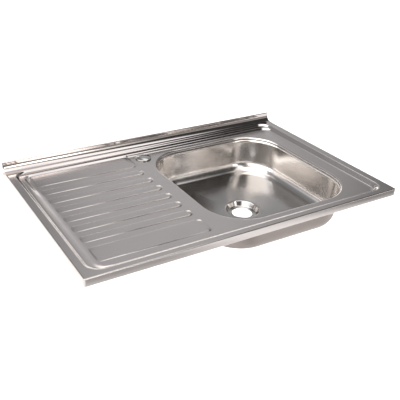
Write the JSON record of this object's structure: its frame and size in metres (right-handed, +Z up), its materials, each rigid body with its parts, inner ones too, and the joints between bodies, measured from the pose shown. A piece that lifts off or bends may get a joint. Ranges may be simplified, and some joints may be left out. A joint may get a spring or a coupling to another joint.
{
  "type": "kitchen sink with drainboard",
  "caption": "Lay-on stainless steel kitchen sink with a square bowl on the right, a ribbed drainer on the left, a low upstand, a covered tap hole and sliding hold-down brackets.",
  "frame": {"origin": "middle of the front edge fold's underside, on the plane where the sink rests on its base cabinet", "axes": "+X to the right along the front edge, +Y to the back and the wall, +Z up"},
  "size_m": [0.8, 0.5, 0.1468],
  "materials": {
    "satin_steel": "satin ground stainless sheet",
    "polished_steel": "polished walls, satin floor",
    "cover_steel": "polished",
    "zinc_steel": "zinc-plated, dull",
    "sound_pad": "matt bitumen",
    "seal_rubber": "matt"
  },
  "bodies": {
    "sink": {"deck_panel": "satin_steel", "bowl": "polished_steel", "bowl_sound_pad": "sound_pad", "drainer_sound_pad": "sound_pad", "tap_hole_cover": "cover_steel", "cover_seal": "seal_rubber"},
    "clamp_plate": {"cover_clamp_plate": "zinc_steel"},
    "wing_nut": {"cover_wing_nut": "zinc_steel"},
    "bracket_fl": {"bracket_front_left": "zinc_steel"},
    "bracket_fr": {"bracket_front_right": "zinc_steel"},
    "bracket_rl": {"bracket_rear_left": "zinc_steel"},
    "bracket_rr": {"bracket_rear_right": "zinc_steel"}
  },
  "joints": [
    {"name": "bracket_fl_slide", "type": "slide", "parent": "sink", "child": "bracket_fl", "axis": [0, 1, 0], "range_m": [-0.08, 0.11]},
    {"name": "bracket_fr_slide", "type": "slide", "parent": "sink", "child": "bracket_fr", "axis": [0, 1, 0], "range_m": [-0.08, 0.11]},
    {"name": "bracket_rl_slide", "type": "slide", "parent": "sink", "child": "bracket_rl", "axis": [0, 1, 0], "range_m": [-0.11, 0.08]},
    {"name": "bracket_rr_slide", "type": "slide", "parent": "sink", "child": "bracket_rr", "axis": [0, 1, 0], "range_m": [-0.11, 0.08]},
    {"name": "clamp_plate_slide", "type": "slide", "parent": "sink", "child": "clamp_plate", "axis": [0, 0, -1], "range_m": [0, 0.01]},
    {"name": "wing_nut_turn", "type": "hinge", "parent": "clamp_plate", "child": "wing_nut", "pos_m": [-0.052, 0.4201, 0], "axis": [0, 0, -1], "range_deg": [0, 2880]}
  ],
  "couplings": [
    {"joint": "wing_nut_turn", "follows": "clamp_plate_slide", "rad_per_m": 5026.5}
  ]
}
